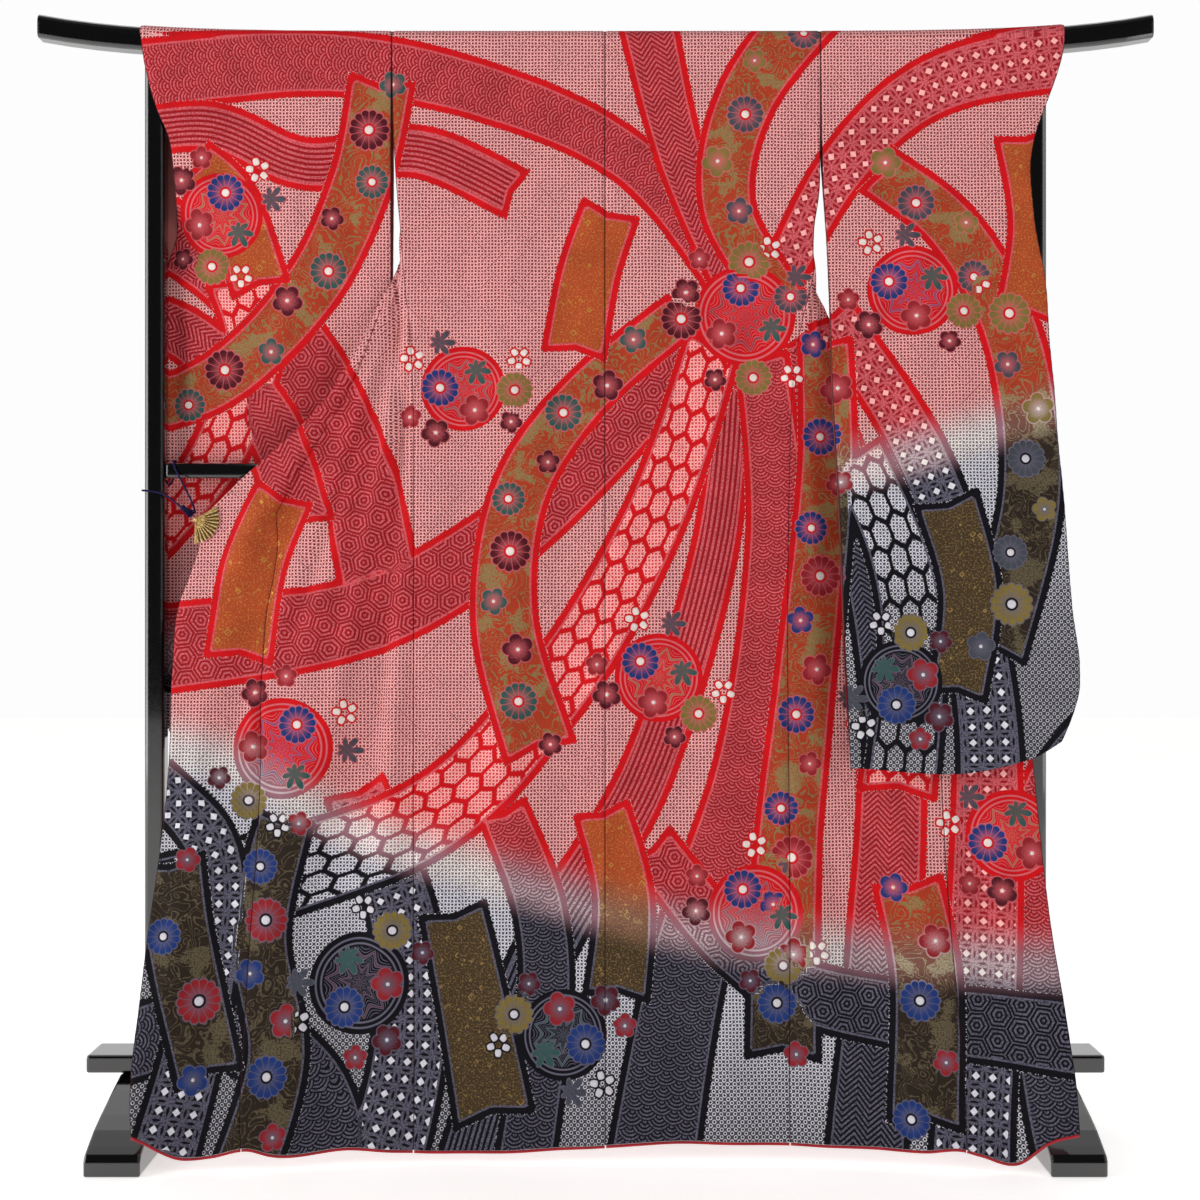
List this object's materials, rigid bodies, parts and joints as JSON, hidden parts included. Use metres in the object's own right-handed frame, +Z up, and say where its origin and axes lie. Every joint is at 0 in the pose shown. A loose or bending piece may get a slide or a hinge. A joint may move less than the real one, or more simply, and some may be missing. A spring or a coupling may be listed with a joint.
{
  "type": "furisode kimono on a kimono stand",
  "caption": "Long-sleeved kimono spread over the rail of a lacquered stand, back to the viewer, one sleeve in front, the front panels drawn out beside the back and held by clips.",
  "frame": {"origin": "on the floor, midway between the two feet", "axes": "+Z up, +X to the viewer's right along the rail, +Y away from the viewer who faces the back of the garment"},
  "size_m": [1.62, 0.4, 1.6245],
  "materials": {
    "lacquer": "black high-gloss lacquer on wood",
    "silk": "red and navy tie-dyed silk with pale puckered dots",
    "lining": "smooth red silk lining",
    "gilt_brass": "pressed and gilded brass",
    "cord": "twisted purple silk cord"
  },
  "bodies": {
    "root": {"top_rail": "lacquer", "post_left": "lacquer", "post_right": "lacquer", "mid_rail": "lacquer", "base_board": "lacquer", "foot_left": "lacquer", "foot_right": "lacquer", "back_left": "silk", "back_right": "silk", "front_left": "silk", "front_right": "silk", "okumi_left": "silk", "okumi_right": "silk", "collar_left": "silk", "collar_right": "silk", "collar_neck": "silk", "sleeve_left_back": "silk", "sleeve_left_front": "silk", "sleeve_right_back": "silk", "sleeve_right_front": "silk", "hem_back_left": "lining", "hem_back_right": "lining", "hem_front_left": "lining", "hem_front_right": "lining", "hem_okumi_left": "lining", "hem_okumi_right": "lining", "clip_left": "gilt_brass", "clip_right": "gilt_brass", "tie_cord_left": "cord", "tie_cord_right": "cord", "tassel": "cord"}
  },
  "joints": []
}
